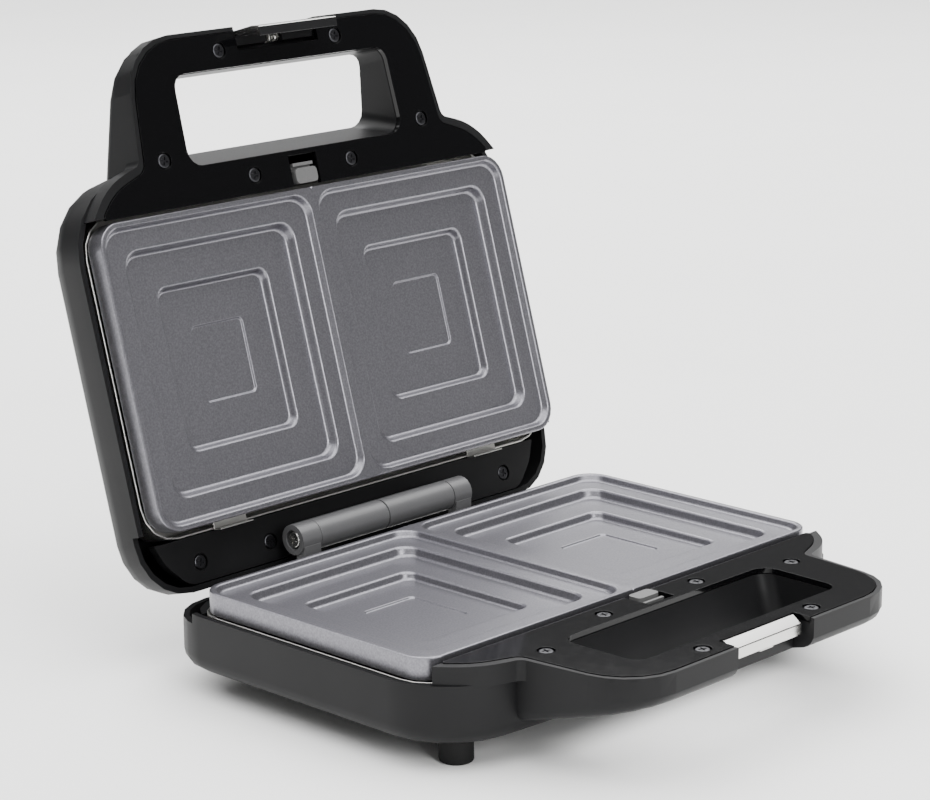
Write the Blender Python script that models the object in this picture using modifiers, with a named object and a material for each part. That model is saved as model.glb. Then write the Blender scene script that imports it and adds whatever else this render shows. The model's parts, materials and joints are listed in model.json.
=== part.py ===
"""Waffle maker with two deep-fill pockets, standing open on its four feet.

Units are metres. X runs along the hinge, -Y is the handle side, +Z is up.
Both halves are drawn in a half frame: its origin is the centre of the grill plate's rim,
its XY plane is that rim's plane, and +Z runs outwards, into the housing.
The base is that frame turned upside down. The lid is that frame turned about the hinge.
"""

import math

import bmesh
import bpy
from mathutils import Matrix, Vector

# The grill plate drives every other size.
PLATE_WIDTH = 0.236
PLATE_LENGTH = 0.128
PLATE_CORNER = 0.011
PLATE_SKIRT = 0.0092
PLATE_DEPTH = 0.0145
POCKET_RIB = 0.0046
POCKET_LIP = 0.0024

# How the object stands: heights above the table, and the lid's rest angle.
RIM_HEIGHT = 0.0445
FOOT_HEIGHT = 0.011
PLATE_Y = -0.0089
HINGE_Y = 0.0802
HINGE_Z = 0.0017
RIM_GAP = 0.0012
LID_OPENING = math.radians(106)

# Housings.
WALL = 0.0025
GAP = 0.0003
BODY_HALF_WIDTH = 0.1235
BODY_FRONT = -0.0862
BODY_REAR_CORNER = 0.025
SIDE_RIM = 0.009
BASE_DEPTH = 0.0335
LID_DEPTH = 0.0335
BASE_REAR = 0.083
LID_REAR = 0.0908
BASE_EDGE = 0.007
LID_EDGE = 0.0135
HANDLE_DEPTH = 0.0134
HANDLE_SLOPE = 0.267
HANDLE_EDGE = 0.005
HANDLE_FRONT = -0.1364
LIP_DEPTH = 0.010
LIP_TOP = 0.0017

# Inner covers, which carry the screws.
COVER_TOP = 0.00135
COVER_THICK = 0.0022
COVER_REAR = -0.0653
STRIP_TOP = 0.013
STRIP_FRONT = 0.0682
STRIP_HOLLOW_HALF = 0.0955
STRIP_SKIRT = 0.0172
HOLE_LEAN = 0.3
NOTCH_HALF_WIDTH = 0.0233
NOTCH_REAR = -0.1262
REAR_RELIEF_FRONT = 0.0625

# Hinge.
BARREL_RADIUS = 0.0066
PIN_RADIUS = 0.0024
BARREL_BORE = 0.0027
KNUCKLE_INNER = 0.0404
KNUCKLE_OUTER = 0.051

# Latch, measured in the lid's closed position.
LATCH_PIVOT_Y = -0.1307
LATCH_PIVOT_Z = 0.0072
LATCH_HALF_WIDTH = 0.0223
LATCH_PIN_RADIUS = 0.0012

CLIP_X = 0.0757
CLIP_SHEET = 0.0006
SCREW_HEAD_RADIUS = 0.0032
SCREW_SHANK_RADIUS = 0.0015
BOSS_RADIUS = 0.0036
COVER_SCREWS = ((0.0336, -0.1272), (0.0751, -0.0853), (0.0283, -0.0732))
LID_STRIP_SCREWS = ((-0.0915, 0.0795), (-0.0525, 0.0795), (0.0915, 0.0795))
BASE_STRIP_SCREWS = ((-0.0915, 0.0745), (0.0915, 0.0745))
FOOT_PLACES = ((0.100, -0.062), (0.080, 0.062))
FOOT_RADIUS = 0.0068

COVER_CORNERS = (
    (0.1132, COVER_REAR, 0.0015),
    (0.1043, -0.0756, 0.030),
    (0.0861, -0.0823, 0.0055),
    (0.0807, -0.1343, 0.0245),
)
LIP_CORNERS = (
    (0.1172, COVER_REAR - 0.0008, 0.0002),
    (0.1067, -0.0796, 0.034),
    (0.0884, -0.0850, 0.004),
    (0.0820, HANDLE_FRONT, 0.025),
)
HANDLE_CORNERS = ((0.0903, -0.0700, 0.0002), (0.0820, HANDLE_FRONT, 0.025))
STRIP_CORNERS = {
    "base": ((0.1125, STRIP_FRONT, 0.0005), (0.1085, 0.0745, 0.010), (0.0995, 0.0798, 0.008)),
    "lid": ((0.1138, STRIP_FRONT, 0.0005), (0.1095, 0.0775, 0.020), (0.0995, 0.0878, 0.010)),
}
HOLE_CORNERS = ((0.0622, -0.0810, 0.007), (0.0612, -0.1194, 0.006))


# ---------------------------------------------------------------- scene and materials


def clear_scene():
    for obj in list(bpy.data.objects):
        bpy.data.objects.remove(obj, do_unlink=True)


def new_collection(name, hidden=False):
    collection = bpy.data.collections.new(name)
    bpy.context.scene.collection.children.link(collection)
    collection.hide_render = hidden
    return collection


def material(name, colour, roughness, metallic=0.0):
    made = bpy.data.materials.new(name)
    made.use_nodes = True
    shader = made.node_tree.nodes["Principled BSDF"]
    shader.inputs["Base Color"].default_value = (*colour, 1.0)
    shader.inputs["Roughness"].default_value = roughness
    shader.inputs["Metallic"].default_value = metallic
    return made


clear_scene()
PARTS = new_collection("waffle_maker")
CUTTERS = new_collection("cutters", hidden=True)

MATERIALS = {
    "housing_plastic": material("housing_plastic", (0.028, 0.028, 0.029), 0.45),
    "gloss_cover": material("gloss_cover", (0.006, 0.006, 0.007), 0.12),
    "grill_coating": material("grill_coating", (0.17, 0.165, 0.175), 0.38, 0.6),
    "bright_steel": material("bright_steel", (0.75, 0.75, 0.75), 0.25, 1.0),
    "latch_metal": material("latch_metal", (0.8, 0.8, 0.8), 0.2, 1.0),
    "button_plastic": material("button_plastic", (0.12, 0.12, 0.125), 0.5),
    "foot_rubber": material("foot_rubber", (0.01, 0.01, 0.01), 0.7),
    "screw_steel": material("screw_steel", (0.05, 0.05, 0.052), 0.3, 0.8),
    "heater_sheath": material("heater_sheath", (0.2, 0.19, 0.18), 0.5, 0.9),
    "ceramic": material("ceramic", (0.75, 0.73, 0.68), 0.6),
    "lens": material("lens", (0.5, 0.05, 0.03), 0.1),
}


# ---------------------------------------------------------------- outlines


def arc_corner(before, corner, after, radius, steps):
    """Points of a fillet at one corner of an outline."""
    to_before = (before - corner).normalized()
    to_after = (after - corner).normalized()
    half = to_before.angle(to_after) / 2
    reach = radius / math.tan(half)
    middle = (to_before + to_after).normalized()
    centre = corner + middle * (radius / math.sin(half))
    first = corner + to_before * reach - centre
    last = corner + to_after * reach - centre
    turn = math.atan2(first.x * last.y - first.y * last.x, first.dot(last))
    return [centre + Matrix.Rotation(turn * i / steps, 2) @ first for i in range(steps + 1)]


def rounded(corners, steps=4):
    """An outline from (x, y, radius) corners, each made an arc."""
    points = [Vector(corner[:2]) for corner in corners]
    outline = []
    for i, corner in enumerate(corners):
        before, after = points[i - 1], points[(i + 1) % len(points)]
        outline += arc_corner(before, points[i], after, corner[2], steps)
    return outline


def mirrored(corners):
    """The right-hand corners of a symmetric outline, and their mirror images."""
    return list(corners) + [(-x, y, radius) for x, y, radius in reversed(corners)]


def grown(corners, by):
    """The corners moved outwards so that every side shifts by the same distance."""
    points = [Vector(corner[:2]) for corner in corners]
    area = sum(a.x * b.y - a.y * b.x for a, b in zip(points, points[1:] + points[:1]))
    outwards = by if area > 0 else -by
    moved = []
    for i, (x, y, radius) in enumerate(corners):
        into = (points[i] - points[i - 1]).normalized()
        out = (points[(i + 1) % len(points)] - points[i]).normalized()
        side = Vector((into.y, -into.x)) + Vector((out.y, -out.x))
        turn = into.x * out.y - into.y * out.x
        shift = side * (outwards / (1 + into.dot(out)))
        convex = turn * area > 0
        bigger = radius + by if convex else radius - by
        moved.append((x + shift.x, y + shift.y, max(bigger, 0.0003)))
    return moved


def opened_behind(corners, by):
    """A mirrored outline whose rear edge is moved back along its two sides."""
    moved = list(corners)
    for end, beside in ((0, 1), (-1, -2)):
        corner, inner = Vector(corners[end][:2]), Vector(corners[beside][:2])
        moved[end] = (*(corner + (corner - inner).normalized() * by), corners[end][2])
    return moved


def box_corners(half_x, low_y, high_y, radius, centre_x=0.0):
    return [
        (centre_x + half_x, high_y, radius),
        (centre_x + half_x, low_y, radius),
        (centre_x - half_x, low_y, radius),
        (centre_x - half_x, high_y, radius),
    ]


# ---------------------------------------------------------------- solids


def finish_object(name, mesh, slot, collection):
    obj = bpy.data.objects.new(name, mesh)
    collection.objects.link(obj)
    if slot:
        mesh.materials.clear()
        mesh.materials.append(MATERIALS[slot])
    else:
        obj.hide_render = True
        obj.display_type = "WIRE"
    return obj


def slab(name, corners, low, high, slot=None, steps=4):
    """A flat outline given thickness: a filled 2D curve, extruded half each way."""
    curve = bpy.data.curves.new(name, "CURVE")
    curve.dimensions = "2D"
    curve.fill_mode = "BOTH"
    curve.extrude = (high - low) / 2
    outline = rounded(corners, steps)
    spline = curve.splines.new("POLY")
    spline.points.add(len(outline) - 1)
    for point, place in zip(spline.points, outline):
        point.co = (place.x, place.y, 0, 1)
    spline.use_cyclic_u = True
    guide = bpy.data.objects.new(name + "_outline", curve)
    CUTTERS.objects.link(guide)
    guide.location.z = (high + low) / 2
    bpy.context.view_layer.update()
    graph = bpy.context.evaluated_depsgraph_get()
    mesh = bpy.data.meshes.new_from_object(guide.evaluated_get(graph))
    mesh.transform(guide.matrix_world)
    bpy.data.objects.remove(guide, do_unlink=True)
    weld(mesh)
    mesh.name = name
    return finish_object(name, mesh, slot, PARTS if slot else CUTTERS)


def weld(mesh):
    """Joins the caps to the sides, and makes each cap one face, so that a bevel runs cleanly."""
    bm = bmesh.new()
    bm.from_mesh(mesh)
    bmesh.ops.remove_doubles(bm, verts=bm.verts, dist=0.00001)
    flat = math.radians(0.5)
    bmesh.ops.dissolve_limit(bm, angle_limit=flat, verts=bm.verts, edges=bm.edges)
    bmesh.ops.recalc_face_normals(bm, faces=bm.faces)
    bm.to_mesh(mesh)
    bm.free()


def block(name, low, high, slot=None):
    """A box between two corners."""
    bm = bmesh.new()
    size = Vector(high) - Vector(low)
    place = Matrix.Translation((Vector(high) + Vector(low)) / 2) @ Matrix.Diagonal((*size, 1))
    bmesh.ops.create_cube(bm, size=1.0, matrix=place)
    mesh = bpy.data.meshes.new(name)
    bm.to_mesh(mesh)
    bm.free()
    return finish_object(name, mesh, slot, PARTS if slot else CUTTERS)


def tapered_block(name, centre, half_x, half_y, low, high, taper):
    """A cutter whose far end is smaller by the taper on every side."""
    cutter = block(name, (-1, -1, -1), (1, 1, 1))
    for vertex in cutter.data.vertices:
        draw = taper if vertex.co.z > 0 else 0.0
        vertex.co.x = centre[0] + math.copysign(half_x - draw, vertex.co.x)
        vertex.co.y = centre[1] + math.copysign(half_y - draw, vertex.co.y)
        vertex.co.z = high if vertex.co.z > 0 else low
    return cutter


def cylinder(name, radius, start, end, slot=None, sides=16, end_radius=None):
    """A round bar, or a cone, between two points."""
    start, end = Vector(start), Vector(end)
    axis = end - start
    bm = bmesh.new()
    turn = Vector((0, 0, 1)).rotation_difference(axis).to_matrix().to_4x4()
    bmesh.ops.create_cone(
        bm,
        cap_ends=True,
        segments=sides,
        radius1=radius,
        radius2=radius if end_radius is None else end_radius,
        depth=axis.length,
        matrix=Matrix.Translation((start + end) / 2) @ turn,
    )
    mesh = bpy.data.meshes.new(name)
    bm.to_mesh(mesh)
    bm.free()
    made = finish_object(name, mesh, slot, PARTS if slot else CUTTERS)
    mesh.shade_smooth()
    mesh.set_sharp_from_angle(angle=math.radians(35))
    return made


def tube(name, points, radius, slot, resolution=1):
    """A bent rod: a curve with a round section and closed ends."""
    curve = bpy.data.curves.new(name, "CURVE")
    curve.dimensions = "3D"
    curve.bevel_depth = radius
    curve.bevel_resolution = resolution
    curve.use_fill_caps = True
    spline = curve.splines.new("POLY")
    spline.points.add(len(points) - 1)
    for point, place in zip(spline.points, points):
        point.co = (*place, 1)
    obj = bpy.data.objects.new(name, curve)
    PARTS.objects.link(obj)
    curve.materials.append(MATERIALS[slot])
    return obj


def combine(obj, other, operation):
    modifier = obj.modifiers.new(other.name, "BOOLEAN")
    modifier.object = other
    modifier.operation = operation
    modifier.solver = "EXACT"
    if obj.parent:
        put(other, obj.parent)
    return obj


def cut(obj, *others):
    for other in others:
        combine(obj, other, "DIFFERENCE")
    return obj


def join(obj, *others):
    for other in others:
        combine(obj, other, "UNION")
    return obj


def round_back_edges(obj, depth, width, segments=4):
    """Rounds the edges that lie in the plane at this depth."""
    mesh = obj.data
    weights = mesh.attributes.new("bevel_weight_edge", "FLOAT", "EDGE")
    for edge in mesh.edges:
        ends = [mesh.vertices[i].co for i in edge.vertices]
        chosen = all(abs(end.z - depth) < 0.00001 for end in ends)
        weights.data[edge.index].value = 1.0 if chosen and is_outline_edge(mesh, edge) else 0.0
    bevel = obj.modifiers.new("rounded_edge", "BEVEL")
    bevel.limit_method = "WEIGHT"
    bevel.width = width
    bevel.segments = segments
    bevel.use_clamp_overlap = False
    return obj


def is_outline_edge(mesh, edge):
    """True where a flat face meets a side wall."""
    ends = set(edge.vertices)
    normals = [p.normal for p in mesh.polygons if ends <= set(p.vertices)]
    return len(normals) == 2 and abs(normals[0].dot(normals[1])) < 0.5


# ---------------------------------------------------------------- frames of the two halves


def empty(name, location, rotation=(0, 0, 0), parent=None):
    made = bpy.data.objects.new(name, None)
    PARTS.objects.link(made)
    made.location = location
    made.rotation_euler = rotation
    made.parent = parent
    return made


BASE_FRAME = empty("base_frame", (0, PLATE_Y, RIM_HEIGHT), (0, math.pi, 0))
HINGE_AXIS = empty(
    "hinge_axis", (0, PLATE_Y + HINGE_Y, RIM_HEIGHT + HINGE_Z), (-LID_OPENING, 0, 0)
)
LID_FRAME = empty("lid_frame", (0, -HINGE_Y, RIM_GAP - HINGE_Z), parent=HINGE_AXIS)
TABLE_FRAME = empty("table_frame", (0, PLATE_Y, 0))
HALVES = {"base": BASE_FRAME, "lid": LID_FRAME}


def family(obj):
    """The object, and everything its modifiers cut or join with."""
    found = [obj]
    for modifier in obj.modifiers:
        if modifier.type == "BOOLEAN":
            found += family(modifier.object)
    return found


def put(obj, frame):
    """Places a piece, with its cutters, in one half's frame."""
    for member in family(obj):
        member.parent = frame
    return obj


def put_on_axis(obj, frame, name, pivot):
    """Parents a moving piece to an empty on its axis, leaving its shape where it is."""
    axis = empty(name, pivot, parent=frame)
    for member in family(obj):
        member.data.transform(Matrix.Translation(-Vector(pivot)))
    return put(obj, axis)


# ---------------------------------------------------------------- housings


def body_outline(rear):
    """The casing of one half seen from above, its front wall slightly bowed."""
    return [
        (BODY_HALF_WIDTH, rear, BODY_REAR_CORNER),
        (BODY_HALF_WIDTH, BODY_FRONT + 0.0062, 0.034),
        (0.045, BODY_FRONT, 0.1),
        (-0.045, BODY_FRONT, 0.1),
        (-BODY_HALF_WIDTH, BODY_FRONT + 0.0062, 0.034),
        (-BODY_HALF_WIDTH, rear, BODY_REAR_CORNER),
    ]


def handle_depth(y):
    """How far out the back of the handle lies: it thickens towards the body."""
    return HANDLE_DEPTH + HANDLE_SLOPE * (y - HANDLE_FRONT)


def slope_back(obj, flat_depth, inset=0.0):
    """Tilts a flat back face into the plane of the back of the handle."""
    for vertex in obj.data.vertices:
        if abs(vertex.co.z - flat_depth) < 0.00001:
            vertex.co.z = handle_depth(vertex.co.y) - inset
    return obj


def hole_form(name, by=0.0):
    """The grip hole, its rear wall leaning towards the handle's front as it goes deeper."""
    made = slab(name, grown(mirrored(HOLE_CORNERS), by), -0.002, 0.04)
    middle = sum(y for _, y, _ in HOLE_CORNERS) / 2
    for vertex in made.data.vertices:
        if vertex.co.y > middle:
            vertex.co.y -= HOLE_LEAN * (vertex.co.z - COVER_TOP - COVER_THICK)
    bm = bmesh.new()
    bm.from_mesh(made.data)
    bmesh.ops.triangulate(bm, faces=bm.faces)
    bm.to_mesh(made.data)
    bm.free()
    return made


def housing(half, depth, rear, edge, notch_floor):
    """The outer casing of one half: a deep body, a lip and a hollow wedge of a handle."""
    body = body_outline(rear)
    shell = slab(f"{half}_shell", body, SIDE_RIM, depth, "housing_plastic", steps=5)
    round_back_edges(shell, depth, edge)
    lip = slab(f"{half}_lip", mirrored(LIP_CORNERS), LIP_TOP, LIP_DEPTH, steps=5)
    handle = slab(f"{half}_handle_form", mirrored(HANDLE_CORNERS), LIP_TOP + 0.001, HANDLE_DEPTH)
    slope_back(round_back_edges(handle, HANDLE_DEPTH, HANDLE_EDGE), HANDLE_DEPTH)
    join(shell, lip, handle)

    seat_floor = COVER_TOP + COVER_THICK + GAP
    body_hollow = slab(f"{half}_body_hollow", grown(body, -WALL), SIDE_RIM - 0.0001,
                       depth - WALL, steps=5)
    round_back_edges(body_hollow, depth - WALL, edge - WALL)
    inside = opened_behind(grown(mirrored(LIP_CORNERS), -WALL), 0.006)
    lip_hollow = slab(f"{half}_lip_hollow", inside, seat_floor - 0.0004,
                      LIP_DEPTH + 0.0002, steps=4)
    handle_hollow = slab(f"{half}_handle_hollow", grown(mirrored(HANDLE_CORNERS), -WALL),
                         seat_floor - 0.0008, HANDLE_DEPTH - WALL)
    slope_back(handle_hollow, HANDLE_DEPTH - WALL, WALL)
    notch_wall = block(
        f"{half}_notch_wall",
        (-NOTCH_HALF_WIDTH - 0.0042, -0.15, -0.01),
        (NOTCH_HALF_WIDTH + 0.0042, NOTCH_REAR + 0.0025, 0.03),
    )
    for hollow in (body_hollow, lip_hollow, handle_hollow):
        cut(hollow, hole_form(f"{hollow.name}_grip_wall", WALL))
    cut(lip_hollow, notch_wall)
    cut(handle_hollow, notch_wall)
    cut(shell, body_hollow, lip_hollow, handle_hollow)

    cover_seat = slab(f"{half}_cover_seat", grown(mirrored(COVER_CORNERS), 0.00035), -0.006,
                      seat_floor, steps=5)
    notch = block(
        f"{half}_notch",
        (-NOTCH_HALF_WIDTH, -0.16, -0.02),
        (NOTCH_HALF_WIDTH, NOTCH_REAR, notch_floor),
    )
    relief = block(f"{half}_rear_relief", (-0.2, REAR_RELIEF_FRONT, -0.01), (0.2, 0.2, STRIP_TOP))
    cut(shell, cover_seat, hole_form(f"{half}_grip_hole"), notch, relief)

    screws = [(side * x, y) for x, y in COVER_SCREWS for side in (1, -1)]
    for i, (x, y) in enumerate(screws):
        floor = handle_depth(y) if y < BODY_FRONT + 0.002 else depth
        join(shell, cylinder(f"{half}_boss_{i}", BOSS_RADIUS, (x, y, seat_floor),
                             (x, y, floor - WALL / 2), sides=10))
    for i, (x, y) in enumerate(screws):
        cut(shell, cylinder(f"{half}_pilot_{i}", SCREW_SHANK_RADIUS + 0.0003, (x, y, 0),
                            (x, y, 0.0112), sides=10))
    return put(shell, HALVES[half])


def cover(half):
    """The gloss panel that closes the handle and carries its screws."""
    panel = slab(f"{half}_front_cover", mirrored(COVER_CORNERS), COVER_TOP,
                 COVER_TOP + COVER_THICK, "gloss_cover", steps=5)
    grip = slab(f"{half}_cover_hole", grown(mirrored(HOLE_CORNERS), 0.0002), -0.01, 0.01)
    notch = block(f"{half}_cover_notch", (-NOTCH_HALF_WIDTH, -0.16, -0.01),
                  (NOTCH_HALF_WIDTH, NOTCH_REAR, 0.01))
    pocket = block(f"{half}_release_pocket", (-0.008, -0.0788, -0.01), (0.008, -0.06, 0.01))
    cut(panel, grip, notch, pocket)
    for i, (x, y) in enumerate((side * x, y) for x, y in COVER_SCREWS for side in (1, -1)):
        screw_seat(panel, f"{half}_cover_screw_{i + 1}", x, y, COVER_TOP)
        screw(f"{half}_cover_screw_{i + 1}", x, y, COVER_TOP, HALVES[half])
    return put(panel, HALVES[half])


def screw_seat(panel, name, x, y, top):
    cut(
        panel,
        cylinder(name + "_counterbore", SCREW_HEAD_RADIUS + 0.0005, (x, y, top - 0.002),
                 (x, y, top + 0.0013), sides=14),
        cylinder(name + "_clearance", SCREW_SHANK_RADIUS + 0.0003, (x, y, top - 0.002),
                 (x, y, top + 0.012), sides=10),
    )


def screw(name, x, y, top, frame):
    """A pan-head screw, its head down in the counterbore."""
    head = cylinder(name, SCREW_HEAD_RADIUS - 0.0006, (x, y, top + 0.0003),
                    (x, y, top + 0.001), "screw_steel", 12, SCREW_HEAD_RADIUS)
    shank = cylinder(name + "_shank", SCREW_SHANK_RADIUS, (x, y, top + 0.0007),
                     (x, y, top + 0.0085), sides=8)
    join(head, shank)
    return put(head, frame)


def rear_strip(half, screws):
    """The dark strip behind the plate, under the hinge, hollow beneath."""
    corners = mirrored(STRIP_CORNERS[half])
    strip = slab(f"{half}_rear_strip", corners, STRIP_TOP, STRIP_SKIRT, "housing_plastic",
                 steps=5)
    rear = max(y for _, y, _ in corners)
    cut(strip, block(f"{half}_strip_hollow",
                     (-STRIP_HOLLOW_HALF, STRIP_FRONT + 0.002, STRIP_TOP + COVER_THICK),
                     (STRIP_HOLLOW_HALF, rear - 0.0025, 0.03)))
    for i, (x, y) in enumerate(screws):
        screw_seat(strip, f"{half}_strip_screw_{i + 1}", x, y, STRIP_TOP)
        screw(f"{half}_strip_screw_{i + 1}", x, y, STRIP_TOP, HALVES[half])
    return put(strip, HALVES[half])


# ---------------------------------------------------------------- cooking parts


def pocket_steps():
    """Half sizes, floor depth and wall taper of each step down into a pocket."""
    half_x = (PLATE_WIDTH / 2 - POCKET_LIP - POCKET_RIB / 2) / 2
    half_y = PLATE_LENGTH / 2 - POCKET_LIP
    return (
        (half_x, half_y, 0.0028, 0.0012),
        (half_x - 0.0105, half_y - 0.0105, 0.0068, 0.0016),
        (half_x - 0.0265, half_y - 0.0275, 0.0100, 0.0012),
        (half_x - 0.0425, half_y - 0.0455, 0.0108, 0.0004),
    )


def grill_plate(half):
    """A cast plate with two stepped pockets and a rib between them."""
    half_x, half_y = PLATE_WIDTH / 2, PLATE_LENGTH / 2
    plate = slab(f"{half}_grill_plate", box_corners(half_x, -half_y, half_y, PLATE_CORNER),
                 0, PLATE_SKIRT, "grill_coating", steps=5)
    inset = 0.0045
    bowl = slab(f"{half}_plate_bowl",
                box_corners(half_x - inset, -half_y + inset, half_y - inset, PLATE_CORNER - inset),
                0.004, PLATE_DEPTH, steps=5)
    join(plate, bowl)
    centre_x = (half_x - POCKET_LIP + POCKET_RIB / 2) / 2
    for side in (-1, 1):
        top = -0.003
        for i, (size_x, size_y, floor, taper) in enumerate(pocket_steps()):
            cutter = tapered_block(f"{half}_pocket_{side + 1}_{i}", (side * centre_x, 0),
                                   size_x, size_y, top, floor, taper)
            cut(plate, cutter)
            top = floor - 0.0006
    return put_on_axis(plate, HALVES[half], f"{half}_plate_seat", (0, 0, 0))


def reflector_pan(half):
    """The bright tray under the plate, which holds the element and throws heat back."""
    half_x, half_y, low, high = 0.1192, 0.0675, 0.0095, 0.0232
    pan = slab(f"{half}_reflector_pan", box_corners(half_x, -half_y, half_y, 0.016), low, high,
               "bright_steel", steps=4)
    inner = slab(f"{half}_pan_inside",
                 box_corners(half_x - 0.0009, -half_y + 0.0009, half_y - 0.0009, 0.0151),
                 low - 0.01, high - 0.0009, steps=4)
    return put(cut(pan, inner), HALVES[half])


def heating_element(half):
    """A sheathed heater bent into a U under both pockets, its ends turned down."""
    radius, depth, end = 0.0031, PLATE_DEPTH + 0.0036, 0.0222
    reach_x, reach_y, bend = 0.085, 0.038, 0.03
    corners = [(-reach_x, -reach_y), (-reach_x, reach_y), (reach_x, reach_y), (reach_x, -reach_y)]
    path = [Vector((-0.02, -reach_y, end)), Vector((-0.02, -reach_y, depth))]
    path.append(Vector((-reach_x + bend, -reach_y, depth)))
    for i, (x, y) in enumerate(corners):
        middle = Vector((math.copysign(reach_x - bend, x), math.copysign(reach_y - bend, y), depth))
        first = (270, 180, 90, 0)[i]
        for step in range(1, 6):
            angle = math.radians(first - 18 * step)
            path.append(middle + bend * Vector((math.cos(angle), math.sin(angle), 0)))
        if i == 1:
            path.append(Vector((reach_x - bend, reach_y, depth)))
        if i in (0, 2):
            path.append(Vector((x, -y - math.copysign(bend, -y), depth)))
    path.append(Vector((0.02, -reach_y, depth)))
    path.append(Vector((0.02, -reach_y, end)))
    made = tube(f"{half}_heating_element", path, radius, "heater_sheath")
    return put(made, HALVES[half])


def plate_clips(half):
    """Sprung steel angles behind the plate: an upright leaf, and a tongue under the skirt."""
    front, back, half_width = 0.0646, 0.0679, 0.009
    for name, x in (("left", -CLIP_X), ("right", CLIP_X)):
        clip = block(f"{half}_plate_clip_{name}", (x - half_width, back - CLIP_SHEET, 0.004),
                     (x + half_width, back, 0.0088), "bright_steel")
        tongue = block(f"{half}_clip_tongue_{name}", (x - half_width, front, 0.0088 - CLIP_SHEET),
                       (x + half_width, back - CLIP_SHEET / 2, 0.0088))
        put(join(clip, tongue), HALVES[half])


def release_button(half):
    """The slider at the middle of the plate's front edge that frees it."""
    button = slab(f"{half}_plate_release", box_corners(0.0062, -0.0728, -0.0662, 0.0018),
                  0.0008, 0.0062, "button_plastic", steps=3)
    bar = block(f"{half}_release_bar", (-0.0058, -0.0752, 0.0021), (0.0058, -0.0738, 0.006))
    plinth = block(f"{half}_release_plinth", (-0.0058, -0.0752, 0.0043), (0.0058, -0.0668, 0.0078))
    join(button, bar, plinth)
    return put_on_axis(button, HALVES[half], f"{half}_release_axis", (0, -0.0695, 0.005))


# ---------------------------------------------------------------- hinge and latch


def hinge():
    """Two lid knuckles between two base knuckles, on one steel pin."""
    y, z = HINGE_Y, HINGE_Z - RIM_GAP
    bracket = cylinder("lid_hinge_bracket", BARREL_RADIUS, (-KNUCKLE_INNER + GAP, y, z),
                       (KNUCKLE_INNER - GAP, y, z), "housing_plastic", 20)
    saddle = block("lid_hinge_saddle", (-KNUCKLE_INNER + GAP, HINGE_Y - 0.0055, z + 0.001),
                   (KNUCKLE_INNER - GAP, HINGE_Y + 0.0055, STRIP_TOP - GAP))
    groove = cylinder("lid_hinge_groove_outer", BARREL_RADIUS + 0.001, (-0.0004, y, z),
                      (0.0004, y, z), sides=20)
    core = cylinder("lid_hinge_groove_core", BARREL_RADIUS - 0.0008, (-0.0006, y, z),
                    (0.0006, y, z), sides=20)
    join(bracket, saddle)
    cut(groove, core)
    cut(groove, block("lid_hinge_groove_stop", (-0.001, y - 0.02, z + 0.003),
                      (0.001, y + 0.02, z + 0.02)))
    bore = cylinder("lid_hinge_bore", BARREL_BORE, (-0.07, y, z), (0.07, y, z), sides=14)
    cut(bracket, groove, bore)
    put(bracket, LID_FRAME)

    z = -HINGE_Z
    for name, side in (("left", 1), ("right", -1)):
        knuckle = cylinder(f"base_hinge_knuckle_{name}", BARREL_RADIUS, (side * KNUCKLE_INNER, y, z),
                           (side * KNUCKLE_OUTER, y, z), "housing_plastic", 20)
        low, high = sorted((side * (KNUCKLE_INNER + 0.0006), side * (KNUCKLE_OUTER - 0.0006)))
        leg = block(f"base_hinge_leg_{name}", (low, 0.0736, z + 0.002),
                    (high, 0.0788, STRIP_TOP - GAP))
        bore = cylinder(f"base_hinge_bore_{name}", BARREL_BORE, (-0.07, y, z), (0.07, y, z),
                        sides=14)
        mouth = cylinder(f"base_hinge_mouth_{name}", 0.0043,
                         (side * (KNUCKLE_OUTER - 0.0026), y, z), (side * 0.06, y, z), sides=16)
        put(cut(join(knuckle, leg), bore, mouth), BASE_FRAME)
        head = cylinder(f"hinge_screw_{name}", 0.0039, (side * (KNUCKLE_OUTER - 0.0022), y, z),
                        (side * (KNUCKLE_OUTER - 0.0006), y, z), "latch_metal", 16, 0.0032)
        shank = cylinder(f"hinge_screw_shank_{name}", 0.0022, (side * 0.0468, y, z),
                         (side * (KNUCKLE_OUTER - 0.002), y, z), sides=10)
        put(join(head, shank), BASE_FRAME)
    pin = cylinder("hinge_pin", PIN_RADIUS, (-0.0464, y, z), (0.0464, y, z), "bright_steel", 14)
    put(pin, BASE_FRAME)


def profile_bar(name, outline, half_width, slot=None):
    """A constant section, drawn in Y and Z and run along X."""
    flat = [(z, y, radius) for y, z, radius in outline]
    bar = slab(name, flat, -half_width, half_width, slot, steps=2)
    bar.data.transform(Matrix(((0, 0, 1, 0), (0, 1, 0, 0), (1, 0, 0, 0), (0, 0, 0, 1))))
    bm = bmesh.new()
    bm.from_mesh(bar.data)
    bmesh.ops.recalc_face_normals(bm, faces=bm.faces)
    bm.to_mesh(bar.data)
    bm.free()
    return bar


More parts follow.
